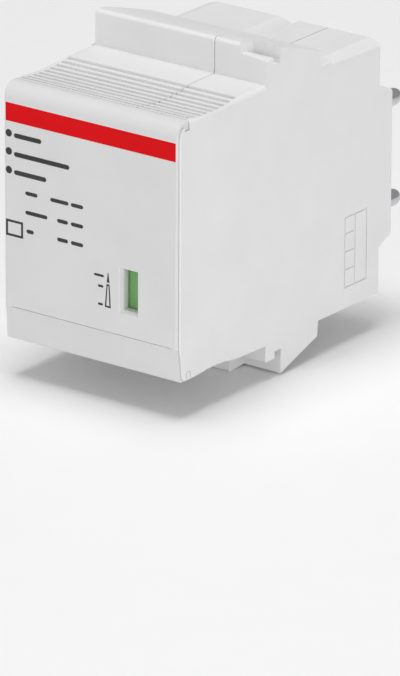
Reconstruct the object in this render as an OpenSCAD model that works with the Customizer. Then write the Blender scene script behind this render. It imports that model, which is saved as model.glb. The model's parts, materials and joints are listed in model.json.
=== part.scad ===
// Plug-in surge arrester cartridge, two rail modules wide.
// Each piece is drawn in a build frame: X from the left side, Y back from the front
// face, Z up from the bottom of the nose. placed() then puts the origin in the middle
// of the rear seating face, with the plug pins pointing along +Y.

/* [Housing] */
// Width over both side walls
body_w = 35.6; // [35.2:0.1:36.4]
// Depth from the front face to the rear seating face
body_d = 58.6; // [58:0.2:62]
// Height of the nose where it meets the fins
nose_h = 45; // [44.6:0.1:46]
// Height that the nose's upper side loses from the fins to the front
nose_draft = 0.3; // [0.1:0.1:0.9]
// Height that the nose's lower side loses from the fins to the front
nose_draft_bottom = 0.6; // [0.1:0.1:0.9]
// Thickness of the shell walls
wall = 1.4; // [1.2:0.1:1.6]
// Thickness of the nose's upper and lower walls, grip included
nose_wall = 2.3; // [2.1:0.1:2.6]
// Distance of the parting plane from the left side
split_x = 25; // [24.2:0.1:25.2]
// Radius along the nose's upper edges
nose_r = 0.9; // [0.4:0.1:1.8]
// Radius along the nose's lower edges
nose_r_bottom = 0.5; // [0.3:0.1:1.4]
// Hairline gap at the parting lines
seam_gap = 0.12; // [0.08:0.02:0.2]

/* [Grip] */
// Number of finger grooves on each side of the nose
grip_count = 9; // [5:1:9]
// Distance between grooves
grip_pitch = 1.5; // [1.2:0.05:1.6]
// Start of the grooved stretch behind the brow's rear edge
grip_y = 0.45; // [0.3:0.05:2.5]
// Depth of the hollow that the grooves lie in
grip_dip = 0.65; // [0.3:0.05:0.8]
// Width of one groove
groove_w = 0.85; // [0.5:0.05:0.9]
// Depth of one groove
groove_d = 0.55; // [0.2:0.05:0.6]
// Distance of the grooves' ends from the sides
groove_in = 0.9; // [0.4:0.1:2]

/* [Fins] */
// Front wall of the fins behind the front face
fin_y = 23.7; // [20:0.1:26]
// Height of the upper fin above the nose
fin_h = 6.1; // [4:0.1:8]
// Height of the lower fin below the nose
fin_h_bottom = 6.1; // [4:0.1:8]
// Length of the upper fin's crest
fin_flat = 3.5; // [2.5:0.1:5]
// Length of the lower fin's crest
fin_flat_bottom = 4.6; // [2.5:0.1:5]
// Height that the crests lose from front to rear
fin_fall = 0.45; // [0.1:0.05:1]
// Radius of the crests' front edge
fin_r = 0.7; // [0.5:0.1:2.4]
// Set-back of the fins from the left side
fin_in = 0.7; // [0.3:0.1:1.2]
// Length of the fins from front wall to rear step
fin_d = 14.6; // [12:0.1:16]
// Height of the fins above the nose at their rear step
fin_tail = 2.2; // [1:0.1:3]
// Width of the upper latch pocket
latch_w_top = 5.2; // [4:0.1:8]
// Width of the lower latch pocket
latch_w_bottom = 7; // [4:0.1:8]
// Height of the upper pocket's ledge above the nose
ledge_top = 4.4; // [2:0.1:4.5]
// Height of the lower pocket's ledge below the nose
ledge_bottom = 2.8; // [2:0.1:4.5]
// Depth of the upper pocket behind the fin's front wall
latch_d_top = 3.4; // [2.5:0.1:5]
// Depth of the lower pocket behind the fin's front wall
latch_d_bottom = 4.2; // [2.5:0.1:5]
// Slant of the pockets' inner end
latch_slant = 0.6; // [0.2:0.1:1]
// Depth of the latch slot below each ledge
latch_slot_d = 1.4; // [0.8:0.1:1.8]
// Width of the latch slot, front to back
latch_slot_w = 1.7; // [1:0.1:2]

/* [Rear] */
// Step from the nose down to the rear body
rear_drop = 0.4; // [0.2:0.1:1]
// Radius on the rear body's back edges
rear_r = 0.3; // [0.2:0.05:1]
// Depth of the plug block behind the rear wall
plug_d = 3.4; // [3:0.1:4]
// Height of the plug block at its seat
plug_h = 26; // [25.6:0.1:28]
// Height that the plug block gains at its root, above and below
plug_taper = 1.2; // [0.4:0.1:2]
// Radius on the plug block's edges
plug_r = 1; // [0.4:0.1:1.4]
// Thickness of the rear wall that carries the pins
rear_wall = 1.5; // [1.2:0.1:1.8]
// Width of the chamfer along the rear body's side edges
edge_w = 2.4; // [1:0.05:2.5]
// Drop of that chamfer
edge_h = 0.75; // [0.4:0.05:1]
// Length of the full corner between the fin and the chamfer
edge_run = 3.1; // [1:0.1:5]
// Middle of the valley between the two module blocks
valley_x = 17.5; // [15:0.1:18]
// Depth of the valley
valley_h = 0.9; // [0.4:0.05:1]
// Length and height of the moulded date grid
grid_size = [6.4, 12.5]; // [4:0.1:13]
// Corner of the date grid ahead of the rear wall and above the nose's bottom
grid_at = [9.8, 3.9]; // [3:0.1:12]
// Width of the grid's lines
grid_line = 0.3; // [0.2:0.05:0.4]
// Depth of the grid's lines
grid_cut = 0.18; // [0.1:0.02:0.3]

/* [Front cover] */
// Thickness of the cover over the cavity
cover_t = 2; // [1.8:0.1:2.2]
// Width of the cover's rim on the sides
seam_y = 0.4; // [0.4:0.05:1]
// Set-back of the cover from the shells' sides
cover_in = 0.3; // [0.1:0.05:0.5]
// Radius of the brow along the top
brow_r = 2.5; // [1.5:0.1:3]
// Rear edge of the brow
lip_y = 2.85; // [2.7:0.05:3.9]
// Height of the step above the bottom of the nose
step_z = 6.55; // [5:0.05:8]
// Set-back of the lower strip under the step
step_in = 0.3; // [0.1:0.05:0.5]
// Set-back of the lower strip at its bottom
strip_y = 0.6; // [0.6:0.1:1.4]
// Radius along the bottom edge
foot_r = 0.7; // [0.5:0.1:1.4]
// Radius of the cover's upright edges
side_r = 0.4; // [0.3:0.1:0.7]
// Radius of the cover's upper corners seen from the front
corner_r = 0.8; // [0.4:0.1:1.5]
// Radius of the cover's lower corners seen from the front
foot_corner_r = 0.5; // [0.3:0.1:1.4]
// Lower edge of the red stripe
stripe_z = 38.35; // [36:0.05:38.6]
// Height of the red stripe
stripe_h = 3.15; // [2:0.05:3.2]
// Distance of the stripe's ends from the sides
stripe_in = 0.6; // [0.4:0.05:2]
// Thickness of the stripe
stripe_t = 0.3; // [0.2:0.05:0.4]
// Middle of the status window from the left side
window_x = 25.55; // [25.4:0.05:26.6]
// Width of the status window
window_w = 3; // [3:0.1:4.6]
// Lower edge of the status window
window_z = 10.7; // [10.6:0.05:11.4]
// Height of the status window
window_h = 7; // [6:0.1:8]
// Width of the flare round the status window
flare_w = 0.4; // [0.2:0.05:0.6]
// Depth of that flare
flare_d = 0.8; // [0.4:0.1:1.2]

/* [Plug pins] */
// Diameter of the plug pins
pin_d = 3; // [2.6:0.1:3.4]
// Length of the pins' straight part behind the seat
pin_len = 5.6; // [4:0.1:8]
// Length of the rounded pin nose
pin_nose = 2.2; // [1.2:0.1:3]
// Distance between the upper and lower pins
pin_rise = 17.7; // [16:0.1:18]
// Distance between the pin columns, one column for each module
pin_pitch = 17.8; // [17:0.1:18]
// Distance of the right column from the right side
pin_edge = 4.2; // [4:0.1:5]
// Diameter of the pins' collars
collar_d = 4.8; // [4:0.1:4.9]
// Step from a pin's shank in the wall to its free end
pin_step = 0.3; // [0.25:0.05:0.5]

/* [Varistors] */
// Side of the square varistor blocks
var_side = 34; // [30:0.5:34.5]
// Thickness of one varistor block
var_t = 8; // [7.6:0.1:8.2]
// Radius of the varistor corners
var_r = 4; // [2:0.5:6]
// Distance of the varistors' rear edge ahead of the contact bars
var_y = 5; // [3:0.1:5.5]
// Side of the square electrode plates
plate_side = 30; // [26:0.5:30]
// Thickness of the electrode sheets
sheet_t = 0.8; // [0.6:0.05:0.9]
// Thickness of the insulating partition
part_t = 1.2; // [1:0.1:1.3]
// Width of the electrode tabs
tab_w = 4; // [3:0.1:5]
// Thickness of the contact bars
bar_t = 1.2; // [1:0.1:1.4]
// Height of the contact bars
bar_h = 5; // [4.9:0.1:5.2]

/* [Trip mechanism] */
// Travel of the status flag when the cartridge trips
flag_travel = 8.3; // [8.2:0.05:8.6]
// Distance from the lever's pivot to its front pin
lever_r = 35.7; // [34:0.1:36.2]
// Thickness of the plastic lever
lever_t = 3.1; // [2.4:0.1:3.2]
// Thickness of the disconnector arm
arm_t = 1; // [0.8:0.05:1]
// Distance from the pivot to the arm's solder foot
foot_at = 24.5; // [23:0.1:25]
// Diameter of the pivot pin
pivot_d = 2.5; // [2:0.1:3]
// Mean diameter of the trip spring
spring_d = 4.8; // [4:0.1:5]
// Wire diameter of the trip spring
wire_d = 0.7; // [0.5:0.05:0.9]
// Turns of the trip spring
spring_turns = 9; // [6:1:11]
// Distance from the pivot to the trip spring
spring_at = 30; // [29.5:0.1:30.5]
// Distance of the slider's middle to the right of the window's
slider_off = 0.55; // [0.3:0.05:0.7]
// Width of the flag slider
slider_w = 6.2; // [5.6:0.1:6.4]
// Thickness of the slider plate
slider_t = 1.2; // [1:0.1:1.4]
// Thickness of the coloured flags
flag_t = 0.5; // [0.3:0.05:0.6]

/* [Clearances] */
// Clearance of sliding and swinging pieces
slide_fit = 0.2; // [0.15:0.05:0.25]
// Radial clearance of the pivot and of the pins in their holes
run_fit = 0.05; // [0.03:0.01:0.08]
// Clearance of pieces laid into the shells
seat_fit = 0.1; // [0.05:0.05:0.15]

/* [Hidden] */
$fn = 48;

// A small overlap that makes cuts run past the faces they open
eps = 0.5;
mid_z = nose_h / 2;

// Rear body and plug block
fin_end = fin_y + fin_d;
rear_y = body_d - plug_d;
rear_z = nose_h - rear_drop;
valley_left = 2.6;
valley_right = 1.6;
plug_z = mid_z + plug_h / 2;

// Cavity of the two shells
cav_z = nose_wall;
cav_rear = rear_y - wall;
cav_plug = plug_z - wall;
pin_seat = body_d - rear_wall;

// Grip
grip_len = grip_count * grip_pitch;
grip_start = lip_y + grip_y;
grip_mid = grip_start + grip_len / 2;
grip_steps = 12;

// Seam between the front cover and the shells
brow_z = nose_z(lip_y);
brow_t = 1.6;
hook_z = brow_z - brow_t;
hook_rise = 0.7;
hook_nose = 0.9;
hook_slant = 0.2;
hook_lip = 0.65;
hook_slope = 0.1;
hook_bend = 0.25;
hook_low = 1;
hook_heel = lip_y - hook_nose;
hook_y = hook_heel - hook_slant;
hook_toe = hook_y - hook_lip;
foot_z = sole_z(strip_y + foot_r);
foot_run = 0.5;
foot_y = strip_y + foot_r + foot_run;

// Arch of the cover's lower snap hooks on the sides
clip_r = 0.65;
clip_line = 0.15;
clip_cut = 0.2;
clip_in = 0.3;
clip_y = foot_y + clip_in + clip_r;
clip_z = foot_z + foot_r + clip_in;
clip_leg = 0.65;

// Contact bars and plug pins
pin_r = pin_d / 2;
shank_r = pin_r + pin_step;
rivet_over = 0.6;
rivet_r = pin_r + rivet_over;
pin_x = [body_w - pin_edge - pin_pitch, body_w - pin_edge];
line_z = mid_z + pin_rise / 2;
earth_z = mid_z - pin_rise / 2;
collar_t = 0.9;
bar_y = pin_seat - collar_t - bar_t;
rivet_t = 0.7;
bar_over = 2.5;
bar_lap = 0.5;

// Varistor stack, from the left wall to the partition
stack_x = wall + seat_fit;
var_a_x = stack_x + sheet_t;
common_x = var_a_x + var_t;
var_b_x = common_x + sheet_t;
inner_x = var_b_x + var_t;
part_x = inner_x + sheet_t + slide_fit;
var_front = bar_y - var_y - var_side;
var_z = mid_z - var_side / 2;
plate_y = var_front + (var_side - plate_side) / 2;
strap_z = nose_h - cav_z - seat_fit - sheet_t;
strap_y = var_front + var_side / 2;
strap_w = 6;

// The bars reach past the left pins and past the common electrode's tab
bar_x0 = min(common_x - bar_lap, pin_x[0] - bar_over);

// Flag slider behind the cover
flag_y = cover_t + slide_fit;
slider_y = flag_y + flag_t;
slider_mid = window_x + slider_off;
slider_x = slider_mid - slider_w / 2;
slider_z = cav_z + slide_fit;
flag_lap = 0.15;
flag_split = window_z - flag_lap;
flag_top = flag_split + flag_travel;
flag_in = 0.4;

// Trip lever at rest: the front pin lies half its travel below the pivot
hook_gap = 2.4;
pivot_y = slider_y + slider_t + hook_gap + lever_r;
pivot_z = line_z;
pivot_r = pivot_d / 2;
lever_rest = asin(flag_travel / 2 / lever_r);
lever_in = 1.2;
lever_x = slider_mid - lever_in;
arm_x = lever_x - arm_t;
hub_r = 3.2;
hook_r = 1;
hook_len = 1.4;
ear_t = 1;
ear_gap = 0.4;
bracket_x = arm_x - ear_gap - ear_t;
bracket_end = lever_x + lever_t + ear_gap + ear_t;
ear_r = bar_h / 2;

// Solder foot of the arm, and its place at rest
foot_drop = 4;
foot_w = 4;
solder_y = pivot_y - foot_at * cos(lever_rest) + foot_drop * sin(lever_rest);
solder_z = pivot_z - foot_at * sin(lever_rest) - foot_drop * cos(lever_rest);
solder_t = 0.3;
solder_gap = 0.1;
solder_x = arm_x - solder_gap - solder_t;
return_y = solder_y - tab_w / 2;

// Yoke of the slider and the rails that guide it
hook_pin_z = pivot_z - flag_travel / 2;
hook_pin_y = pivot_y - lever_r * cos(lever_rest);
yoke_gap = 0.3;
yoke_x = lever_x + lever_t + yoke_gap;
yoke_t = 1;
rail_w = 1;
rail_lip = 0.8;
rail_h = flag_top - slider_z;

// Trip spring
spring_y = pivot_y - spring_at;
spring_x = lever_x + lever_t / 2;
bar_half_front = 1.4;
bar_half_hub = 2.4;
spring_z = cav_z + seat_fit;
spring_top = pivot_z - spring_at * tan(lever_rest) - bar_half_hub - slide_fit;

// Colours
shell_grey = [0.85, 0.85, 0.85];
cover_grey = [0.83, 0.83, 0.83];
signal_red = [0.86, 0.08, 0.1];
flag_green = [0.36, 0.62, 0.34];
brass = [0.78, 0.62, 0.32];
tinned = [0.72, 0.73, 0.75];

// Height of the nose's upper face at depth y
function nose_z(y, draft = nose_draft) = nose_h - draft * (fin_y - y) / fin_y;

// Height of the nose's lower face at depth y
function sole_z(y) = nose_h - nose_z(y, nose_draft_bottom);

// Height of the hollow that holds the grooves at depth y
function dip_z(y, draft) = nose_z(y, draft) - grip_dip * (1 - pow(2 * (y - grip_mid) / grip_len, 2));

// Points of an arc about c from angle a0 to a1
function arc(c, r, a0, a1, n = 6) =
    [for (i = [0:n]) let (a = a0 + (a1 - a0) * i / n) [c[0] + r * cos(a), c[1] + r * sin(a)]];

// Upper outline of the shells from the grip to the plug block, with a fin of height h
function upper_outline(draft, h, flat) = concat(
    [for (i = [0:grip_steps]) let (y = grip_start + i * grip_len / grip_steps) [y, dip_z(y, draft)]],
    [[fin_y, nose_h]],
    arc([fin_y + fin_r, nose_h + h - fin_r], fin_r, 180, 90),
    [
        [fin_y + flat, nose_h + h - fin_fall],
        [fin_end, nose_h + fin_tail],
        [fin_end, rear_z]
    ],
    arc([rear_y - rear_r, rear_z - rear_r], rear_r, 90, 0),
    [[rear_y, plug_z + plug_taper]],
    arc([body_d - plug_r, plug_z - plug_r], plug_r, 90, 0)
);

// The same outline turned over, running back to the front
function lower_outline() =
    let (up = upper_outline(nose_draft_bottom, fin_h_bottom, fin_flat_bottom))
    [for (i = [len(up) - 1:-1:0]) [up[i][0], nose_h - up[i][1]]];

// Snap hook in the seam under the brow, from the rim up, with a gap g on the shells' side
function seam_hook(g) = [
    [seam_y + g, hook_z - hook_low],
    [(seam_y + hook_toe) / 2 - hook_slope + g, hook_z - hook_bend],
    [hook_toe + g, hook_z + hook_rise - hook_slope - g],
    [hook_y - g, hook_z + hook_rise - g],
    [hook_heel - g, hook_z - g],
    [lip_y + g, hook_z - g],
    [lip_y + g, brow_z]
];

// Seam of the shells against the front cover, from the bottom up
function shell_front() = concat(
    [
        [foot_y + seam_gap, sole_z(foot_y)],
        [strip_y + seam_y + seam_gap, foot_z + foot_r],
        [seam_y + seam_gap, step_z]
    ],
    seam_hook(seam_gap)
);

// Outline of the cavity, open at the front
function cavity_outline() = [
    [-eps, cav_z],
    [-eps, nose_h - cav_z],
    [cav_rear, nose_h - cav_z],
    [cav_rear, cav_plug],
    [pin_seat, cav_plug],
    [pin_seat, nose_h - cav_plug],
    [cav_rear, nose_h - cav_plug],
    [cav_rear, cav_z]
];

// Puts the build frame's pieces into the part's own frame
module placed() {
    translate([-body_w / 2, -body_d, -mid_z]) children();
}

// Sweeps a side view, drawn as depth and height, from x0 to x1
module sweep_x(x0, x1) {
    translate([x0, 0, 0]) rotate([90, 0, 90]) linear_extrude(x1 - x0) children();
}

// Sweeps a front view, drawn as width and height, from y0 to y1
module sweep_y(y0, y1) {
    translate([0, y1, 0]) rotate([90, 0, 0]) linear_extrude(y1 - y0) children();
}

// A round bar along X
module bar_x(x0, x1, r) {
    translate([x0, 0, 0]) rotate([0, 90, 0]) cylinder(h = x1 - x0, r = r);
}

// A box between two corners
module block(a, b) {
    translate(a) cube(b - a);
}

// Mirrors its children from the top of the housing to the bottom
module upside_down() {
    translate([0, 0, nose_h]) mirror([0, 0, 1]) children();
}

// Turns its children with the trip lever about the pivot
module on_lever() {
    translate([0, pivot_y, pivot_z]) rotate([lever_rest, 0, 0]) children();
}

// Shells

module shell_side() {
    polygon(concat(shell_front(), upper_outline(nose_draft, fin_h, fin_flat), lower_outline()));
}

// Chamfers along the upper edges of the rear body
module rear_chamfers() {
    sweep_y(fin_end + edge_run, rear_y + eps) {
        polygon([[body_w - edge_w, rear_z], [body_w + eps, rear_z + eps],
                 [body_w + eps, rear_z - edge_h], [body_w, rear_z - edge_h]]);
        polygon([[edge_w, rear_z], [-eps, rear_z + eps],
                 [-eps, rear_z - edge_h], [0, rear_z - edge_h]]);
    }
}

// Valley between the two module blocks of the rear body
module rear_valley() {
    sweep_y(fin_end, rear_y + eps)
        polygon([[valley_x - valley_left, rear_z], [valley_x, rear_z - valley_h],
                 [valley_x + valley_right, rear_z], [valley_x + valley_right, rear_z + eps],
                 [valley_x - valley_left, rear_z + eps]]);
}

// Finger grooves across the hollow, ending ahead of the side edges
module grip_grooves(draft) {
    slope = groove_w / 8;
    for (i = [0:grip_count - 1]) {
        y = grip_start + (i + 0.5) * grip_pitch;
        a = y - groove_w / 2;
        b = y + groove_w / 2;
        mouth = dip_z(y, draft);
        low = mouth - groove_d;
        high = nose_z(y, draft) + eps;
        sweep_x(groove_in, body_w - groove_in)
            polygon([[a, high], [a, mouth], [a + slope, low], [b - slope, low], [b, mouth], [b, high]]);
    }
}

// Rounds the two long edges of the nose, which follow its draft
module nose_rounds(r, draft) {
    tilt = atan(draft / fin_y);
    corner = concat([[-eps, eps], [-eps, -r - eps]], arc([r, -r], r, 180, 90), [[r + eps, eps]]);
    intersection() {
        for (side = [0, 1])
            translate([side * body_w, 0, nose_z(0, draft)]) mirror([side, 0, 0]) rotate([tilt, 0, 0])
                sweep_y(-eps, fin_y + eps) polygon(corner);
        block([-eps, -eps, mid_z], [body_w + eps, fin_y, nose_h + eps]);
    }
}

// Sets one fin back from the left side
module fin_set_back(h) {
    block([-eps, fin_y - eps, nose_h], [fin_in, fin_end, nose_h + h + eps]);
}

// Latch pocket and slot at the right end of a fin of height h, drawn for the upper one
module latch_pocket(width, depth, ledge, h) {
    back = fin_y + depth;
    x0 = body_w - width;
    floor_z = nose_h + ledge;
    top_z = nose_h + h + eps;
    sweep_y(fin_y - eps, back)
        polygon([[x0, floor_z], [body_w + eps, floor_z], [body_w + eps, top_z],
                 [x0 - latch_slant, top_z]]);
    block([x0, back - latch_slot_w, floor_z - latch_slot_d], [body_w + eps, back, floor_z + eps]);
}

// Arch that the cover's snap hook shows on a side, swept from x0 to x1
module clip_arch(x0, x1) {
    inner_r = clip_r - clip_line;
    sweep_x(x0, x1) translate([clip_y, clip_z]) polygon(concat(
        [[clip_r, -clip_leg]],
        arc([0, 0], clip_r, 0, 180, 8),
        [[-clip_r, -clip_leg], [-inner_r, -clip_leg]],
        arc([0, 0], inner_r, 180, 0, 8),
        [[inner_r, -clip_leg]]
    ));
}

// Moulded date grid on the right side: a frame, an upright and three cross lines
module date_grid() {
    y0 = rear_y - grid_at[0];
    z0 = grid_at[1];
    y1 = y0 + grid_size[0];
    z1 = z0 + grid_size[1];
    x0 = body_w - grid_cut;
    x1 = body_w + eps;
    mid = y0 + grid_size[0] * 0.45;
    for (y = [y0, mid, y1 - grid_line])
        block([x0, y, z0], [x1, y + grid_line, z1]);
    for (z = [z0, z1 - grid_line])
        block([x0, y0, z], [x1, y1, z + grid_line]);
    for (i = [1:3])
        block([x0, y0, z0 + i * grid_size[1] / 4], [x1, mid, z0 + i * grid_size[1] / 4 + grid_line]);
}

// Hole of one plug pin through the rear wall
module pin_hole(x, z) {
    translate([x, pin_seat - eps, z]) rotate([-90, 0, 0])
        cylinder(h = rear_wall + 2 * eps, r = shank_r + run_fit);
}

// Hollow blank of one shell between two planes
module shell_blank(x0, x1, cav_x0, cav_x1) {
    difference() {
        sweep_x(x0, x1) shell_side();
        sweep_x(cav_x0, cav_x1) polygon(cavity_outline());
        rear_chamfers();
        rear_valley();
        upside_down() rear_valley();
        nose_rounds(nose_r, nose_draft);
        upside_down() nose_rounds(nose_r_bottom, nose_draft_bottom);
        grip_grooves(nose_draft);
        upside_down() grip_grooves(nose_draft_bottom);
    }
}

// Ribs that hold the varistor stack off the upper and lower walls
module varistor_ribs() {
    rib_w = 2;
    for (y = [var_front + var_r, var_front + var_side - var_r - rib_w]) {
        block([wall - seat_fit, y, cav_z - seat_fit], [inner_x - seat_fit, y + rib_w, var_z - seat_fit]);
        block([wall - seat_fit, y, var_z + var_side + seat_fit],
              [inner_x - seat_fit, y + rib_w, nose_h - cav_z + seat_fit]);
    }
}

module left_shell() {
    color(shell_grey) placed() difference() {
        union() {
            shell_blank(0, split_x - seam_gap / 2, wall, split_x + eps);
            varistor_ribs();
        }
        fin_set_back(fin_h);
        upside_down() fin_set_back(fin_h_bottom);
        clip_arch(-eps, clip_cut);
        pin_hole(pin_x[0], line_z);
        pin_hole(pin_x[0], earth_z);
    }
}

// Tongues that reach past the parting plane and line the shells up
module seam_tongue() {
    tongue_l = 1;
    tongue_t = 0.7;
    tongue_root = split_x + 1.2;
    top = nose_h - cav_z;
    y0 = pivot_y - foot_at;
    y1 = cav_rear - wall;
    block([split_x - tongue_l, y0, top - seat_fit - tongue_t], [tongue_root, y1, top - seat_fit]);
    block([split_x + seam_gap, y0, top - seat_fit - tongue_t], [tongue_root, y1, top + seat_fit]);
}

// Round seat that centres the trip spring, on the right shell's side of the parting plane
module spring_seat() {
    seat_h = 2;
    seat_d = spring_d - wire_d - 2 * slide_fit;
    intersection() {
        translate([spring_x, spring_y, cav_z - seat_fit]) cylinder(h = seat_h, d = seat_d);
        block([split_x + seam_gap / 2, spring_y - seat_d, cav_z - seat_fit],
              [spring_x + seat_d, spring_y + seat_d, cav_z + seat_h]);
    }
}

module right_shell() {
    color(shell_grey) placed() difference() {
        union() {
            shell_blank(split_x + seam_gap / 2, body_w, split_x - eps, body_w - wall);
            seam_tongue();
            upside_down() seam_tongue();
            spring_seat();
        }
        latch_pocket(latch_w_top, latch_d_top, ledge_top, fin_h);
        upside_down() latch_pocket(latch_w_bottom, latch_d_bottom, ledge_bottom, fin_h_bottom);
        clip_arch(body_w - clip_cut, body_w + eps);
        date_grid();
        pin_hole(pin_x[1], line_z);
        pin_hole(pin_x[1], earth_z);
    }
}

// Front cover

// Side view of the cover's rim, from the foot up over the brow and back along the seam
module cover_side() {
    polygon(concat(
        arc([strip_y + foot_r, foot_z + foot_r], foot_r, 270, 180),
        [[step_in, step_z - step_in], [0, step_z]],
        arc([brow_r, brow_z - brow_r], brow_r, 180, 90, 8),
        [
            for (i = [6:-1:0]) seam_hook(0)[i],
            [seam_y, step_z],
            [strip_y + seam_y, foot_z + foot_r],
            [foot_y, sole_z(foot_y)]
        ]
    ));
}

// Plan of the cover with rounded upright edges
module cover_plan() {
    polygon(concat(
        [[cover_in, lip_y + eps]],
        arc([cover_in + side_r, side_r], side_r, 180, 270),
        arc([body_w - cover_in - side_r, side_r], side_r, 270, 360),
        [[body_w - cover_in, lip_y + eps]]
    ));
}

// Front view of the cover with rounded corners
module cover_front() {
    low = foot_z + foot_corner_r;
    high = brow_z - corner_r;
    polygon(concat(
        arc([foot_corner_r, low], foot_corner_r, 180, 270),
        arc([body_w - foot_corner_r, low], foot_corner_r, 270, 360),
        arc([body_w - corner_r, high], corner_r, 0, 90),
        arc([corner_r, high], corner_r, 90, 180)
    ));
}

// Part of the cover that fills the mouth of the shells
module cover_plug() {
    sink = 0.25;
    z0 = cav_z + seat_fit;
    z1 = nose_h - cav_z - seat_fit;
    sweep_x(wall + seat_fit, body_w - wall - seat_fit)
        polygon([
            [strip_y + seam_y - sink, z0],
            [cover_t, z0],
            [cover_t, z1],
            [seam_y - sink, z1],
            [seam_y - sink, step_z]
        ]);
}

// Rails behind the cover that guide the flag slider
module slider_rails() {
    z0 = slider_z;
    z1 = slider_z + rail_h;
    lip_0 = slider_y + slider_t + slide_fit;
    lip_t = 0.6;
    lip_1 = lip_0 + lip_t;
    for (side = [0, 1]) {
        wall_x = side == 0 ? slider_x - slide_fit - rail_w : slider_x + slider_w + slide_fit;
        lip_x = side == 0 ? wall_x : wall_x - rail_lip - slide_fit;
        block([wall_x, cover_t - seat_fit, z0], [wall_x + rail_w, lip_1, z1]);
        block([lip_x, lip_0, z0], [lip_x + rail_w + rail_lip + slide_fit, lip_1, z1]);
    }
}

// Status window with its flared frame
module window_cut() {
    x0 = window_x - window_w / 2;
    x1 = window_x + window_w / 2;
    z0 = window_z;
    z1 = window_z + window_h;
    out = flare_w * (flare_d + eps) / flare_d;
    block([x0, -eps, z0], [x1, cover_t + eps, z1]);
    intersection() {
        sweep_x(x0 - out, x1 + out)
            polygon([[-eps, z0 - out], [flare_d, z0], [flare_d, z1], [-eps, z1 + out]]);
        translate([0, 0, z0 - out]) linear_extrude(z1 - z0 + 2 * out)
            polygon([[x0 - out, -eps], [x0, flare_d], [x1, flare_d], [x1 + out, -eps]]);
    }
}

module front_cover() {
    color(cover_grey) placed() difference() {
        union() {
            intersection() {
                sweep_x(0, body_w) cover_side();
                translate([0, 0, -eps]) linear_extrude(nose_h + 2 * eps) cover_plan();
                sweep_y(-eps, lip_y + eps) cover_front();
            }
            cover_plug();
            slider_rails();
        }
        window_cut();
        block([stripe_in, -eps, stripe_z], [body_w - stripe_in, stripe_t, stripe_z + stripe_h]);
    }
}

module red_stripe() {
    color(signal_red) placed()
        intersection() {
            block([stripe_in, 0, stripe_z], [body_w - stripe_in, stripe_t, stripe_z + stripe_h]);
            translate([0, 0, -eps]) linear_extrude(nose_h + 2 * eps) cover_plan();
        }
}

// Varistor stack

// Insulating sheet between the varistors and the trip mechanism
module partition() {
    slot_y = return_y - sheet_t;
    color([0.3, 0.3, 0.32]) placed() difference() {
        block([part_x, cover_t + slide_fit, cav_z + seat_fit],
              [part_x + part_t, cav_rear - seat_fit, nose_h - cav_z - seat_fit]);
        block([part_x - eps, slot_y - slide_fit, solder_z - tab_w / 2 - slide_fit],
              [part_x + part_t + eps, slot_y + sheet_t + slide_fit, solder_z + tab_w / 2 + slide_fit]);
    }
}

// Coated varistor block with rounded corners
module varistor(x) {
    a = var_r;
    b = var_side - var_r;
    color([0.16, 0.3, 0.5]) placed() sweep_x(x, x + var_t) translate([var_front, var_z])
        polygon(concat(
            arc([a, a], var_r, 180, 270),
            arc([b, a], var_r, 270, 360),
            arc([b, b], var_r, 0, 90),
            arc([a, b], var_r, 90, 180)
        ));
}

module varistor_a() { varistor(var_a_x); }
module varistor_b() { varistor(var_b_x); }

// Square electrode plate on a varistor's face
module plate(x) {
    half = plate_side / 2;
    block([x, plate_y, mid_z - half], [x + sheet_t, plate_y + plate_side, mid_z + half]);
}

// Tab that rises from a plate to the bridge strap
module strap_tab(x) {
    block([x, strap_y - strap_w / 2, mid_z], [x + sheet_t, strap_y + strap_w / 2, strap_z]);
}

module outer_electrode() {
    color(brass) placed() {
        plate(stack_x);
        strap_tab(stack_x);
    }
}

// Room for the rivet heads of one pole's pins in a piece that meets its bar
module rivet_room(z) {
    for (x = pin_x)
        translate([x, bar_y - rivet_t - seat_fit, z]) rotate([-90, 0, 0])
            cylinder(h = rivet_t + seat_fit + eps, r = rivet_r + seat_fit);
}

module common_electrode() {
    color(brass) placed() difference() {
        union() {
            plate(common_x);
            block([common_x, plate_y + plate_side / 2, earth_z - tab_w / 2],
                  [common_x + sheet_t, bar_y, earth_z + tab_w / 2]);
        }
        rivet_room(earth_z);
    }
}

// Inner electrode, whose folded tab passes the partition to the solder point
module inner_electrode() {
    z0 = solder_z - tab_w / 2;
    z1 = solder_z + tab_w / 2;
    y0 = return_y - sheet_t;
    color(brass) placed() {
        plate(inner_x);
        strap_tab(inner_x);
        block([inner_x, y0, z0], [inner_x + sheet_t, plate_y + tab_w, z1]);
        block([inner_x, y0, z0], [solder_x, return_y, z1]);
        block([solder_x - sheet_t, y0, z0], [solder_x, return_y + tab_w, z1]);
    }
}

module bridge_strap() {
    color(brass) placed()
        block([stack_x, strap_y - strap_w / 2, strap_z],
              [inner_x + sheet_t, strap_y + strap_w / 2, strap_z + sheet_t]);
}

// Low-melting solder that holds the arm until the varistors overheat
module solder_pad() {
    pad = 3;
    color(tinned) placed()
        block([solder_x, solder_y - pad / 2, solder_z - pad / 2],
              [solder_x + solder_t, solder_y + pad / 2, solder_z + pad / 2]);
}

// Contacts

// Bar that joins the two pins of one pole
module contact_bar(z) {
    color(brass) placed() difference() {
        block([bar_x0, bar_y, z - bar_h / 2],
              [pin_x[1] + bar_over, bar_y + bar_t, z + bar_h / 2]);
        for (x = pin_x)
            translate([x, bar_y - eps, z]) rotate([-90, 0, 0])
                cylinder(h = bar_t + 2 * eps, r = shank_r + run_fit);
    }
}

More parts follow.
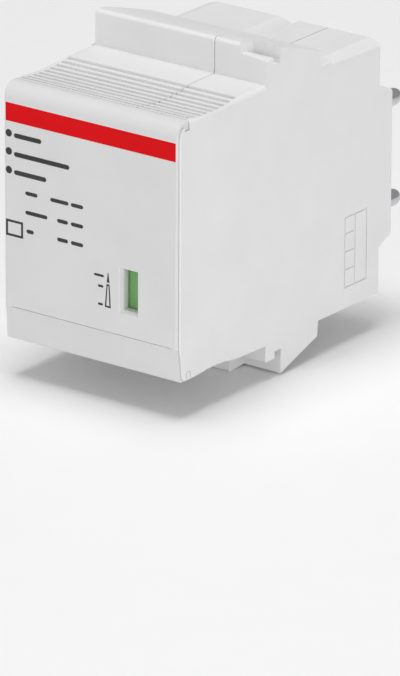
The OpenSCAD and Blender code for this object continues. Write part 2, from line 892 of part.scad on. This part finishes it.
// Turned plug pin: rivet head, collar, shank and rounded nose
module plug_pin(x, z) {
    tip = body_d + pin_len;
    color(tinned) placed() translate([x, 0, z]) rotate([-90, 0, 0]) rotate_extrude()
        polygon(concat(
            [
                [0, bar_y - rivet_t],
                [rivet_r, bar_y - rivet_t],
                [rivet_r, bar_y],
                [shank_r, bar_y],
                [shank_r, bar_y + bar_t],
                [collar_d / 2, bar_y + bar_t],
                [collar_d / 2, pin_seat],
                [shank_r, pin_seat],
                [shank_r, body_d],
                [pin_r, body_d]
            ],
            [for (i = [0:8]) let (a = i * 90 / 8) [pin_r * cos(a), tip + pin_nose * sin(a)]]
        ));
}

module line_bar() { contact_bar(line_z); }
module earth_bar() { contact_bar(earth_z); }
module line_pin_left() { plug_pin(pin_x[0], line_z); }
module line_pin_right() { plug_pin(pin_x[1], line_z); }
module earth_pin_left() { plug_pin(pin_x[0], earth_z); }
module earth_pin_right() { plug_pin(pin_x[1], earth_z); }

// Trip mechanism

// Ear of the pivot bracket with its round end
module bracket_ear(x) {
    block([x, pivot_y, pivot_z - ear_r], [x + ear_t, bar_y, pivot_z + ear_r]);
    translate([0, pivot_y, pivot_z]) bar_x(x, x + ear_t, ear_r);
}

module pivot_bracket() {
    color(brass) placed() difference() {
        union() {
            bracket_ear(bracket_x);
            bracket_ear(bracket_end - ear_t);
            block([bracket_x, bar_y - ear_t, pivot_z - ear_r], [bracket_end, bar_y, pivot_z + ear_r]);
        }
        translate([0, pivot_y, pivot_z]) bar_x(bracket_x - eps, bracket_end + eps, pivot_r + run_fit / 2);
        rivet_room(line_z);
    }
}

module pivot_pin() {
    head_t = 0.8;
    color(tinned) placed() translate([0, pivot_y, pivot_z]) {
        bar_x(bracket_x, bracket_end, pivot_r);
        bar_x(bracket_end, bracket_end + head_t, pivot_r * 1.6);
    }
}

// Sprung copper arm with its solder foot
module disconnector_arm() {
    half = 1.5;
    color([0.75, 0.48, 0.33]) placed() on_lever() difference() {
        union() {
            bar_x(arm_x, arm_x + arm_t, hub_r);
            block([arm_x, -foot_at - foot_w / 2, -half], [arm_x + arm_t, 0, half]);
            block([arm_x, -foot_at - foot_w / 2, -foot_drop - foot_w / 2],
                  [arm_x + arm_t, -foot_at + foot_w / 2, half]);
        }
        bar_x(arm_x - eps, arm_x + arm_t + eps, pivot_r + run_fit);
        translate([0, -foot_at / 2, 0]) bar_x(arm_x - eps, arm_x + arm_t + eps, half / 2);
    }
}

// Rivet head and shank that fix the arm to the lever
module arm_rivet() {
    shank = 0.75;
    head = 1.3;
    color(tinned) placed() on_lever() translate([0, -foot_at / 2, 0]) {
        bar_x(arm_x - 0.3, arm_x, head);
        bar_x(arm_x, lever_x, shank);
    }
}

// Plastic lever from the pivot to the flag slider
module trip_lever() {
    color([0.92, 0.9, 0.82]) placed() on_lever() difference() {
        union() {
            bar_x(lever_x, lever_x + lever_t, hub_r);
            sweep_x(lever_x, lever_x + lever_t)
                polygon([[-lever_r, -bar_half_front], [0, -bar_half_hub],
                         [0, bar_half_hub], [-lever_r, bar_half_front]]);
            translate([0, -lever_r, 0]) {
                bar_x(lever_x, lever_x + lever_t, bar_half_front);
                bar_x(lever_x, lever_x + lever_t + hook_len, hook_r);
            }
        }
        bar_x(lever_x - eps, lever_x + lever_t + eps, pivot_r + run_fit);
    }
}

// Compression spring under the lever, swept along its helix
module trip_spring() {
    steps = 16;
    sides = 6;
    rise = spring_top - spring_z - wire_d;
    count = spring_turns * steps;
    rings = [for (i = [0:count]) let (
            a = 360 * i / steps,
            z = spring_z + wire_d / 2 + rise * i / count
        ) each [for (j = [0:sides - 1]) let (
            b = 360 * j / sides,
            r = spring_d / 2 + wire_d / 2 * cos(b)
        ) [r * cos(a), r * sin(a), z + wire_d / 2 * sin(b)]]];
    walls = [for (i = [0:count - 1], j = [0:sides - 1]) let (k = (j + 1) % sides)
        [i * sides + j, (i + 1) * sides + j, (i + 1) * sides + k, i * sides + k]];
    start = [[for (j = [0:sides - 1]) j]];
    finish = [[for (j = [sides - 1:-1:0]) count * sides + j]];
    color(tinned) placed() translate([spring_x, spring_y, 0])
        polyhedron(points = rings, faces = concat(start, walls, finish), convexity = 10);
}

// Slider with its stem and the slotted yoke that the lever's front pin drives
module flag_slider() {
    stem_w = 3;
    yoke_half = 2;
    back = slider_y + slider_t;
    slot_half = hook_r + 0.15;
    yoke_back = hook_pin_y + hook_r + 1.2;
    color([0.88, 0.88, 0.86]) placed() difference() {
        union() {
            block([slider_x, slider_y, slider_z], [slider_x + slider_w, back, flag_top]);
            block([slider_mid - stem_w / 2, slider_y, flag_top - eps],
                  [slider_mid + stem_w / 2, back, hook_pin_z + yoke_half]);
            block([slider_mid - stem_w / 2, slider_y, hook_pin_z - yoke_half],
                  [yoke_x + yoke_t, back, hook_pin_z + yoke_half]);
            block([yoke_x, slider_y, hook_pin_z - yoke_half],
                  [yoke_x + yoke_t, yoke_back, hook_pin_z + yoke_half]);
        }
        block([yoke_x - eps, pivot_y - lever_r - slot_half - slide_fit, hook_pin_z - slot_half],
              [yoke_x + yoke_t + eps, hook_pin_y + slot_half + slide_fit, hook_pin_z + slot_half]);
    }
}

// Coloured tile on the front of the slider
module flag(z0, z1, tint) {
    color(tint) placed()
        block([slider_x + flag_in, flag_y, z0], [slider_x + slider_w - flag_in, slider_y, z1]);
}

module green_flag() { flag(flag_split, flag_top, flag_green); }
module red_flag() { flag(slider_z, flag_split, signal_red); }

left_shell();
right_shell();
front_cover();
red_stripe();
partition();
varistor_a();
varistor_b();
outer_electrode();
common_electrode();
inner_electrode();
bridge_strap();
solder_pad();
line_bar();
earth_bar();
line_pin_left();
line_pin_right();
earth_pin_left();
earth_pin_right();
pivot_bracket();
pivot_pin();
disconnector_arm();
arm_rivet();
trip_lever();
trip_spring();
flag_slider();
green_flag();
red_flag();
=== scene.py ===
"""Looks of a plug-in surge arrester cartridge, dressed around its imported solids."""

import json
import math

import bmesh
import bpy
from mathutils import Matrix, Vector
from mathutils.bvhtree import BVHTree


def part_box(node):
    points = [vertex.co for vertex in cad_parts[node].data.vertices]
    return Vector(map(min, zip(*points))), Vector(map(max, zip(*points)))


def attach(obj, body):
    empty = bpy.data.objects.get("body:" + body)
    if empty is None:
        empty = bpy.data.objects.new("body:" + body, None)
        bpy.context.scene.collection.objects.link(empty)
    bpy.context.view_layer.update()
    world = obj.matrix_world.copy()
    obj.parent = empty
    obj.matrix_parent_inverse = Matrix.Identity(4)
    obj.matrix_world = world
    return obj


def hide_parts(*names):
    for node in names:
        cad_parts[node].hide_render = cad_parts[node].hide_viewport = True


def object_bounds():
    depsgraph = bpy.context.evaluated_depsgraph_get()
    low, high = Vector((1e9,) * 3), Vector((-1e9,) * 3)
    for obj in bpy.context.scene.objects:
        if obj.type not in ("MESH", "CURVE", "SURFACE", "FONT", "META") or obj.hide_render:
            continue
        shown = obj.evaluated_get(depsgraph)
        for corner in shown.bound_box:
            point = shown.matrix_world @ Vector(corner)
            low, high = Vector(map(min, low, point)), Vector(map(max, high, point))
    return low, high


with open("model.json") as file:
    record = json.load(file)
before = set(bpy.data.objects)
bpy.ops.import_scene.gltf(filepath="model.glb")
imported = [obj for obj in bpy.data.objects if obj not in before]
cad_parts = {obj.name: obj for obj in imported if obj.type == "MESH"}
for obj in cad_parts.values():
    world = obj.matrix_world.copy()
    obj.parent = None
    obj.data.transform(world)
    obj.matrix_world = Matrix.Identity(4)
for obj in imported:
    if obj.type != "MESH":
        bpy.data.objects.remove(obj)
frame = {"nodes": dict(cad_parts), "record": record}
cad_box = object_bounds()

MM = 0.001

# Camera, fitted to the edges of the object in the picture
IMAGE_LONG_SIDE = 676
FOCAL_PX = 8000
SENSOR_MM = 36
AZIMUTH = math.radians(36.74)
ELEVATION = math.radians(20.42)
ROLL = math.radians(0.23)
DISTANCE = 1291.2 * MM
AIM = Vector((15.83, -50.115, -16.77)) * MM
# How far the camera sees, in metres
VIEW_DEPTH = 20

# Light: the room's strength, and each soft light's place and width in metres and its watts
ROOM_STRENGTH = 0.394
LIGHTS = {
    "low_front": ((-0.1, -1.0, 0.1), 0.5, 1.55),
    "right": ((0.85, -0.45, 0.08), 0.5, 3.65),
    "overhead": ((0, -0.1, 1.0), 0.6, 6.0),
}
# Half the floor's width, in metres
FLOOR_HALF = 3.0

# The stretch of a noise's values that its tones and gloss are spread over
NOISE_START = 0.3
NOISE_END = 0.7
# Noise scales, in waves a metre
CLOUD_SCALE = 110
GLOSS_SCALE = 420
METAL_GLOSS_SCALE = 600
COAT_TONE_SCALE = 260
COAT_GLOSS_SCALE = 900
COAT_WAVE_SCALE = 180
# How far a roughness swings to each side, and the coat's lowest and highest roughness
GLOSS_SWING = 0.05
METAL_GLOSS_SWING = 0.07
COAT_ROUGH = (0.25, 0.42)
# How far the coat's tone swings to each side, as a share of it
COAT_SHARE = 0.2
# Strength and depth of the reliefs
GRAIN_STRENGTH = 0.35
STREAK_DEPTH = 0.01 * MM
COAT_STRENGTH = 0.5
COAT_DEPTH = 0.08 * MM
# A metal's streaks are this many times as long as wide
STREAK = 12

# Softened moulding edges: radius and shortest edge of each pass, widest first
EDGE_PASSES = ((0.35 * MM, 1.5 * MM), (0.12 * MM, 0.6 * MM))
EDGE_ANGLE = math.radians(24)
EDGE_SEGMENTS = 6
# This profile is a circle's arc
EDGE_PROFILE = 0.5
# A face next to a rounding is at least this many radii wide, at these shares of the edge
EDGE_ROOM = 4
EDGE_SAMPLES = (0.1, 0.5, 0.9)
# An edge shows if nothing lies before it, from just off its middle to well past the object
RAY_START = 0.02 * MM
RAY_LENGTH = 200 * MM
# Faces that meet at less than this angle share their shading
SMOOTH_ANGLE = math.radians(16)
# Faces that meet at less than this angle are one flat face
FLAT_ANGLE = math.radians(0.4)
# Points closer than this are one: in the solids, and in the finished pieces
MERGE = 0.0005 * MM
WELD = 0.002 * MM

# Shadow line at the step above the cover's lower strip: its depth, the rim beside its ends,
# and the way that the step's face looks
LINE_DEPTH = 0.35 * MM
LINE_RIM = 1.3 * MM
STEP_WAY = Vector((0, -1, -1)).normalized()

# Print on the front: how far the ink stands out of the face, and how deep its back lies
PRINT_T = 0.02 * MM
PRINT_SINK = 0.02 * MM
# Straight steps in the half circle at a bar's end
ARC_STEPS = 6

# Places of the print, in millimetres from the left side and up from the stripe's top,
# and how thick its dots and bars are
DOT_X = (0.6, 1.9)
DOT_T = 1.3
HEADING_X = 2.3
HEADING_T = 0.8
# Each heading's dot height, bar height and bar end
HEADINGS = ((-5.2, -5.4, 7.9), (-8.3, -8.6, 13.6), (-11.5, -11.7, 8.9))
RATING_T = 0.65
# Each rating row's height, and where its bars start and end
RATINGS = {
    -14.8: ((4.6, 7.1), (9.7, 13.4), (13.9, 16.4)),
    -18.1: ((4.6, 9.1), (11.1, 13.3), (13.9, 16.4)),
    -21.3: ((4.8, 6.3), (11.1, 13.3), (13.9, 16.4)),
}
LEVEL_T = 0.4
# Each level bar's start, end and height
LEVELS = ((18.6, 20.6, -25.6), (19.4, 20.5, -27.4), (19.4, 20.4, -30.5))
# Fields with a level top and bottom, each as its top, the top's ends, its bottom and the
# bottom's ends: the outer and inner loop of two outlines, and one full field
CLASS_FRAME = ((-20.0, (0.6, 4.1), -22.8, (0.6, 4.1)), (-20.4, (1.0, 3.7), -22.4, (1.0, 3.7)))
LEVEL_WEDGE = ((-26.8, (21.15, 21.75), -30.8, (20.8, 22.0)),
               (-27.1, (21.35, 21.55), -30.5, (21.08, 21.72)))
LEVEL_TIP = (-24.8, (21.4, 21.5), -26.5, (21.18, 21.72))


# Materials

def node_material(name):
    """A new material with its shader, its nodes and its links."""
    mat = bpy.data.materials.new(name)
    mat.use_nodes = True
    tree = mat.node_tree
    return mat, tree.nodes["Principled BSDF"], tree.nodes, tree.links


def noise(nodes, links, coords, scale, detail=2.0, rough=0.5):
    tex = nodes.new("ShaderNodeTexNoise")
    tex.inputs["Scale"].default_value = scale
    tex.inputs["Detail"].default_value = detail
    tex.inputs["Roughness"].default_value = rough
    links.new(coords, tex.inputs["Vector"])
    return tex.outputs["Fac"]


def ramp(nodes, links, fac, low, high):
    """Maps a noise to colours from low to high."""
    node = nodes.new("ShaderNodeValToRGB")
    node.color_ramp.elements[0].position = NOISE_START
    node.color_ramp.elements[1].position = NOISE_END
    node.color_ramp.elements[0].color = (*low, 1)
    node.color_ramp.elements[1].color = (*high, 1)
    links.new(fac, node.inputs["Fac"])
    return node.outputs["Color"]


def spread(nodes, links, fac, low, high):
    """Maps a noise to plain numbers from low to high."""
    node = nodes.new("ShaderNodeMapRange")
    node.inputs["From Min"].default_value = NOISE_START
    node.inputs["From Max"].default_value = NOISE_END
    node.inputs["To Min"].default_value = low
    node.inputs["To Max"].default_value = high
    links.new(fac, node.inputs["Value"])
    return node.outputs["Result"]


def bump(nodes, links, shader, height, strength, depth):
    node = nodes.new("ShaderNodeBump")
    node.inputs["Strength"].default_value = strength
    node.inputs["Distance"].default_value = depth
    links.new(height, node.inputs["Height"])
    links.new(node.outputs["Normal"], shader.inputs["Normal"])


def tones(colour, share):
    """A darker and a lighter tone about a colour."""
    return [c * (1 - share) for c in colour], [min(1, c * (1 + share)) for c in colour]


def moulded(name, colour, rough, grain_mm=0.22, grain_depth_mm=0.012, share=0.018, gloss=0.4):
    """Moulded plastic: cloudy tone, spark-eroded grain and uneven gloss."""
    mat, shader, nodes, links = node_material(name)
    coords = nodes.new("ShaderNodeTexCoord").outputs["Object"]
    low, high = tones(colour, share)
    clouds = noise(nodes, links, coords, CLOUD_SCALE, detail=3)
    links.new(ramp(nodes, links, clouds, low, high), shader.inputs["Base Color"])
    patches = noise(nodes, links, coords, GLOSS_SCALE)
    links.new(spread(nodes, links, patches, rough - GLOSS_SWING, rough + GLOSS_SWING),
              shader.inputs["Roughness"])
    grain = noise(nodes, links, coords, 1 / (grain_mm * MM))
    bump(nodes, links, shader, grain, GRAIN_STRENGTH, grain_depth_mm * MM)
    shader.inputs["Specular IOR Level"].default_value = gloss
    return mat


def metal(name, colour, rough, across, scratch_mm=0.12, share=0.08, relief=0.15):
    """Worked metal: uneven gloss, and streaks in tone and height, thin where across is STREAK."""
    mat, shader, nodes, links = node_material(name)
    coords = nodes.new("ShaderNodeTexCoord").outputs["Object"]
    mapping = nodes.new("ShaderNodeMapping")
    mapping.inputs["Scale"].default_value = across
    links.new(coords, mapping.inputs["Vector"])
    streaks = noise(nodes, links, mapping.outputs["Vector"], 1 / (scratch_mm * MM) / STREAK,
                    detail=4, rough=0.6)
    low, high = tones(colour, share)
    links.new(ramp(nodes, links, streaks, low, high), shader.inputs["Base Color"])
    patches = noise(nodes, links, coords, METAL_GLOSS_SCALE, detail=3)
    links.new(spread(nodes, links, patches, rough - METAL_GLOSS_SWING, rough + METAL_GLOSS_SWING),
              shader.inputs["Roughness"])
    bump(nodes, links, shader, streaks, relief, STREAK_DEPTH)
    shader.inputs["Metallic"].default_value = 1.0
    return mat


def coated(name, colour):
    """Dipped epoxy coat: cloudy tone, uneven gloss and slow waves."""
    mat, shader, nodes, links = node_material(name)
    coords = nodes.new("ShaderNodeTexCoord").outputs["Object"]
    low, high = tones(colour, COAT_SHARE)
    clouds = noise(nodes, links, coords, COAT_TONE_SCALE, detail=5)
    links.new(ramp(nodes, links, clouds, low, high), shader.inputs["Base Color"])
    patches = noise(nodes, links, coords, COAT_GLOSS_SCALE)
    links.new(spread(nodes, links, patches, *COAT_ROUGH), shader.inputs["Roughness"])
    waves = noise(nodes, links, coords, COAT_WAVE_SCALE)
    bump(nodes, links, shader, waves, COAT_STRENGTH, COAT_DEPTH)
    return mat


LOOKS = {
    "shell_plastic": moulded("shell_plastic_look", (0.755, 0.755, 0.755), rough=0.52),
    "cover_plastic": moulded("cover_plastic_look", (0.682, 0.682, 0.682), rough=0.5),
    "stripe_red": moulded("stripe_red_look", (0.68, 0.003, 0.006), rough=0.5,
                          grain_mm=0.3, grain_depth_mm=0.006, share=0.03, gloss=0.08),
    "insulation": moulded("insulation_look", (0.035, 0.036, 0.04), rough=0.55,
                          grain_mm=0.15, grain_depth_mm=0.01, share=0.12),
    "varistor_coat": coated("varistor_coat_look", (0.03, 0.1, 0.25)),
    "brass_sheet": metal("brass_sheet_look", (0.72, 0.52, 0.24), rough=0.34, across=(1, 1, STREAK)),
    "solder": metal("solder_look", (0.6, 0.6, 0.62), rough=0.45, across=(1, 1, 1), scratch_mm=0.4),
    "plated_pin": metal("plated_pin_look", (0.6, 0.6, 0.62), rough=0.18, across=(1, STREAK, 1),
                        scratch_mm=0.08, share=0.03, relief=0.02),
    "steel": metal("steel_look", (0.55, 0.56, 0.58), rough=0.3, across=(1, STREAK, 1)),
    "copper_arm": metal("copper_arm_look", (0.62, 0.31, 0.18), rough=0.33,
                        across=(STREAK, 1, STREAK)),
    "lever_plastic": moulded("lever_plastic_look", (0.8, 0.77, 0.66), rough=0.45,
                             grain_mm=0.2, grain_depth_mm=0.008, share=0.02),
    "flag_green": moulded("flag_green_look", (0.196, 0.435, 0.156), rough=0.45,
                          grain_mm=0.3, grain_depth_mm=0.006, share=0.04),
    "flag_red": moulded("flag_red_look", (0.6, 0.02, 0.02), rough=0.45,
                        grain_mm=0.3, grain_depth_mm=0.006, share=0.04),
}

for sub in frame["record"]["subparts"]:
    node = frame["nodes"][sub["node"]]
    node.data.materials.clear()
    node.data.materials.append(LOOKS[sub["material_slot"]])


# Softened mouldings

def solid_tree():
    """All the solids in one tree, to ask what lies in front of a point."""
    points, faces = [], []
    for node in frame["nodes"].values():
        start = len(points)
        points += [v.co.copy() for v in node.data.vertices]
        faces += [[start + i for i in p.vertices] for p in node.data.polygons]
    return BVHTree.FromPolygons(points, faces)


def lies_in(point, face):
    """True where a point of a face's plane lies within its outline."""
    across = max(range(3), key=lambda i: abs(face.normal[i]))
    u, v = [i for i in range(3) if i != across]
    within = False
    for loop in face.loops:
        a, b = loop.vert.co, loop.link_loop_next.vert.co
        if (a[v] > point[v]) != (b[v] > point[v]):
            if point[u] < a[u] + (point[v] - a[v]) * (b[u] - a[u]) / (b[v] - a[v]):
                within = not within
    return within


def is_wide(loop, width):
    """True where a face is at least this wide at the sampled places along one of its edges."""
    start, end = loop.vert.co, loop.link_loop_next.vert.co
    inward = loop.face.normal.cross(end - start).normalized()
    return all(lies_in(start.lerp(end, t) + inward * width, loop.face) for t in EDGE_SAMPLES)


def has_room(edge, radius):
    """True where an edge's neighbours are long and wide enough for its rounding."""
    for vert in edge.verts:
        for other in vert.link_edges:
            shared = set(other.link_faces) & set(edge.link_faces)
            if other is not edge and shared and other.calc_length() < 2 * radius:
                return False
    return all(is_wide(loop, EDGE_ROOM * radius) for loop in edge.link_loops)


def shows(edge, tree):
    """True where an outer edge looks into the open."""
    way = (edge.link_faces[0].normal + edge.link_faces[1].normal).normalized()
    middle = (edge.verts[0].co + edge.verts[1].co) / 2
    return tree.ray_cast(middle + way * RAY_START, way, RAY_LENGTH)[0] is None


def round_edges(bm, tree, radius, least):
    edges = [e for e in bm.edges
             if len(e.link_faces) == 2 and e.is_convex and e.calc_face_angle() > EDGE_ANGLE
             and e.calc_length() > least and has_room(e, radius) and shows(e, tree)]
    bmesh.ops.bevel(bm, geom=edges, offset=radius, offset_type="OFFSET", segments=EDGE_SEGMENTS,
                    profile=EDGE_PROFILE, affect="EDGES", clamp_overlap=False)


def even_shading(mesh):
    """Shades each corner of a face with its near-level neighbours, the wider ones more."""
    around = [[] for _ in mesh.vertices]
    for face in mesh.polygons:
        face.use_smooth = True
        for vert in face.vertices:
            around[vert].append(face)
    least = math.cos(SMOOTH_ANGLE)
    normals = []
    for face in mesh.polygons:
        for vert in face.vertices:
            level = [f for f in around[vert] if f.normal.dot(face.normal) > least]
            normals.append(sum((f.normal * f.area for f in level), Vector()).normalized())
    mesh.normals_split_custom_set(normals)


def cut_shadow_line(bm):
    """Deepens the step above the lower strip, between the cover's rims."""
    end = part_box("front_cover")[1].x - LINE_RIM
    bm.normal_update()
    step = max((f for f in bm.faces if f.normal.dot(STEP_WAY) > math.cos(FLAT_ANGLE)),
               key=lambda f: f.calc_area())
    parts = [step, *step.edges, *step.verts]
    for x in (-end, end):
        parts = bmesh.ops.bisect_plane(bm, geom=parts, plane_co=(x, 0, 0), plane_no=(1, 0, 0))["geom"]
    middle = min((p for p in parts if isinstance(p, bmesh.types.BMFace)),
                 key=lambda f: abs(f.calc_center_median().x))
    floor = bmesh.ops.extrude_discrete_faces(bm, faces=[middle])["faces"][0]
    bmesh.ops.translate(bm, verts=floor.verts, vec=(0, LINE_DEPTH, 0))


def softened(node_name, piece_name, slot, tree, shape=None):
    """A moulding with its outer edges rounded, in place of its solid; shape adds to its form."""
    bm = bmesh.new()
    bm.from_mesh(frame["nodes"][node_name].data)
    bmesh.ops.remove_doubles(bm, verts=bm.verts, dist=MERGE)
    bmesh.ops.dissolve_limit(bm, angle_limit=FLAT_ANGLE, verts=bm.verts, edges=bm.edges)
    if shape:
        shape(bm)
    for radius, least in EDGE_PASSES:
        bm.normal_update()
        round_edges(bm, tree, radius, least)
    bmesh.ops.remove_doubles(bm, verts=bm.verts, dist=WELD)
    mesh = bpy.data.meshes.new(piece_name)
    bm.to_mesh(mesh)
    bm.free()
    even_shading(mesh)
    mesh.materials.append(LOOKS[slot])
    piece = bpy.data.objects.new(piece_name, mesh)
    bpy.context.scene.collection.objects.link(piece)
    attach(piece, "housing")
    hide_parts(node_name)


tree = solid_tree()
softened("left_shell", "left_moulding", "shell_plastic", tree)
softened("right_shell", "right_moulding", "shell_plastic", tree)
softened("front_cover", "cover_moulding", "cover_plastic", tree, cut_shadow_line)


# Print on the front, as plain bars and outlines

LEFT = cad_box[0].x
INK_FRONT = cad_box[0].y - PRINT_T
INK_BACK = cad_box[0].y + PRINT_SINK
STRIPE_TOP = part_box("red_stripe")[1].z
INK = moulded("ink_look", (0.045, 0.045, 0.048), rough=0.6,
              grain_mm=0.1, grain_depth_mm=0.004, share=0.15, gloss=0.2)


def at_front(x, z, y):
    """A place at depth y, from millimetres off the left side and up from the stripe's top."""
    return Vector((LEFT + x * MM, y, STRIPE_TOP + z * MM))


def bar_outline(x0, x1, z, height):
    """A round-ended bar seen from the front."""
    r = height / 2
    angles = [math.pi * i / ARC_STEPS for i in range(ARC_STEPS + 1)]
    right = [(x1 - r + r * math.sin(a), z + r * math.cos(a)) for a in angles]
    left = [(x0 + r - r * math.sin(a), z - r * math.cos(a)) for a in angles]
    return right + left


def taper_outline(top, top_ends, bottom, bottom_ends):
    """A field with a level top and bottom, each given by its height and its two ends."""
    return [(top_ends[0], top), (top_ends[1], top), (bottom_ends[1], bottom), (bottom_ends[0], bottom)]


def add_ink(bm, outline):
    """Raises one field of ink from the front; the outline runs clockwise, seen from there."""
    front = [bm.verts.new(at_front(x, z, INK_FRONT)) for x, z in outline]
    back = [bm.verts.new(at_front(x, z, INK_BACK)) for x, z in outline]
    bm.faces.new(front)
    bm.faces.new(back[::-1])
    for i in range(len(outline)):
        j = (i + 1) % len(outline)
        bm.faces.new((front[j], front[i], back[i], back[j]))


def add_ring(bm, outer, inner):
    """Raises an outline of ink between two loops of as many points."""
    count = len(outer)
    loops = [[bm.verts.new(at_front(x, z, y)) for x, z in loop]
             for y in (INK_FRONT, INK_BACK) for loop in (outer, inner)]
    front_out, front_in, back_out, back_in = loops
    for i in range(count):
        j = (i + 1) % count
        bm.faces.new((front_out[i], front_out[j], front_in[j], front_in[i]))
        bm.faces.new((back_out[j], back_out[i], back_in[i], back_in[j]))
        bm.faces.new((front_out[j], front_out[i], back_out[i], back_out[j]))
        bm.faces.new((front_in[i], front_in[j], back_in[j], back_in[i]))


def ink_piece(name, bm):
    """Makes a piece from the ink in bm, and frees bm."""
    bmesh.ops.remove_doubles(bm, verts=bm.verts, dist=WELD)
    bmesh.ops.recalc_face_normals(bm, faces=bm.faces)
    mesh = bpy.data.meshes.new(name)
    bm.to_mesh(mesh)
    bm.free()
    mesh.materials.append(INK)
    piece = bpy.data.objects.new(name, mesh)
    bpy.context.scene.collection.objects.link(piece)
    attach(piece, "housing")


def fields(name, outlines):
    """Full fields of ink with the given outlines."""
    bm = bmesh.new()
    for outline in outlines:
        add_ink(bm, outline)
    ink_piece(name, bm)


def bars(name, rows):
    """Rows of bars, each with its start, end, height and thickness."""
    fields(name, [bar_outline(*row) for row in rows])


def outlined(name, outer, inner):
    """One outline of ink between an outer and an inner field."""
    bm = bmesh.new()
    add_ring(bm, taper_outline(*outer), taper_outline(*inner))
    ink_piece(name, bm)


bars("heading_bars", [row for dot_z, bar_z, end in HEADINGS
                      for row in ((*DOT_X, dot_z, DOT_T), (HEADING_X, end, bar_z, HEADING_T))])
bars("rating_bars", [(start, end, z, RATING_T) for z, spans in RATINGS.items() for start, end in spans])
outlined("class_frame", *CLASS_FRAME)
bars("level_bars", [(start, end, z, LEVEL_T) for start, end, z in LEVELS])
outlined("level_wedge", *LEVEL_WEDGE)
fields("level_tip", [taper_outline(*LEVEL_TIP)])


# Floor, light and camera

MIDDLE = (cad_box[0] + cad_box[1]) / 2


def pale_floor(z, half):
    mesh = bpy.data.meshes.new("floor")
    corners = [(-half, -half, z), (half, -half, z), (half, half, z), (-half, half, z)]
    mesh.from_pydata(corners, [], [(0, 1, 2, 3)])
    floor = bpy.data.objects.new("floor", mesh)
    bpy.context.scene.collection.objects.link(floor)
    mesh.materials.append(moulded("floor_look", (0.93, 0.93, 0.93), rough=0.6,
                                  grain_mm=2.0, grain_depth_mm=0.02, share=0.004))


def soft_light(name, place, size, watts):
    """A round light that looks at the object's middle."""
    data = bpy.data.lights.new(name, "AREA")
    data.shape = "DISK"
    data.size = size
    data.energy = watts
    light = bpy.data.objects.new(name, data)
    light.location = place
    light.rotation_euler = (MIDDLE - Vector(place)).to_track_quat("-Z", "Y").to_euler()
    bpy.context.scene.collection.objects.link(light)


def white_room(strength):
    world = bpy.data.worlds.new("room")
    world.use_nodes = True
    back = world.node_tree.nodes["Background"]
    back.inputs["Color"].default_value = (1, 1, 1, 1)
    back.inputs["Strength"].default_value = strength
    bpy.context.scene.world = world


def picture_camera():
    """The picture's camera, which looks at AIM and is rolled about its own axis."""
    right = Vector((math.cos(AZIMUTH), math.sin(AZIMUTH), 0))
    ahead = Vector((-math.sin(AZIMUTH) * math.cos(ELEVATION),
                    math.cos(AZIMUTH) * math.cos(ELEVATION), -math.sin(ELEVATION)))
    down = ahead.cross(right)
    rolled_right = math.cos(ROLL) * right - math.sin(ROLL) * down
    rolled_down = math.sin(ROLL) * right + math.cos(ROLL) * down
    data = bpy.data.cameras.new("camera")
    data.sensor_width = SENSOR_MM
    data.lens = FOCAL_PX * SENSOR_MM / IMAGE_LONG_SIDE
    data.clip_end = VIEW_DEPTH
    camera = bpy.data.objects.new("camera", data)
    axes = Matrix((rolled_right, -rolled_down, -ahead)).transposed().to_4x4()
    camera.matrix_world = Matrix.Translation(AIM - ahead * DISTANCE) @ axes
    bpy.context.scene.collection.objects.link(camera)
    bpy.context.scene.camera = camera


pale_floor(cad_box[0].z, FLOOR_HALF)
white_room(ROOM_STRENGTH)
for light_name, (place, size, watts) in LIGHTS.items():
    soft_light(light_name, place, size, watts)
picture_camera()
bpy.context.scene.view_settings.view_transform = "Standard"
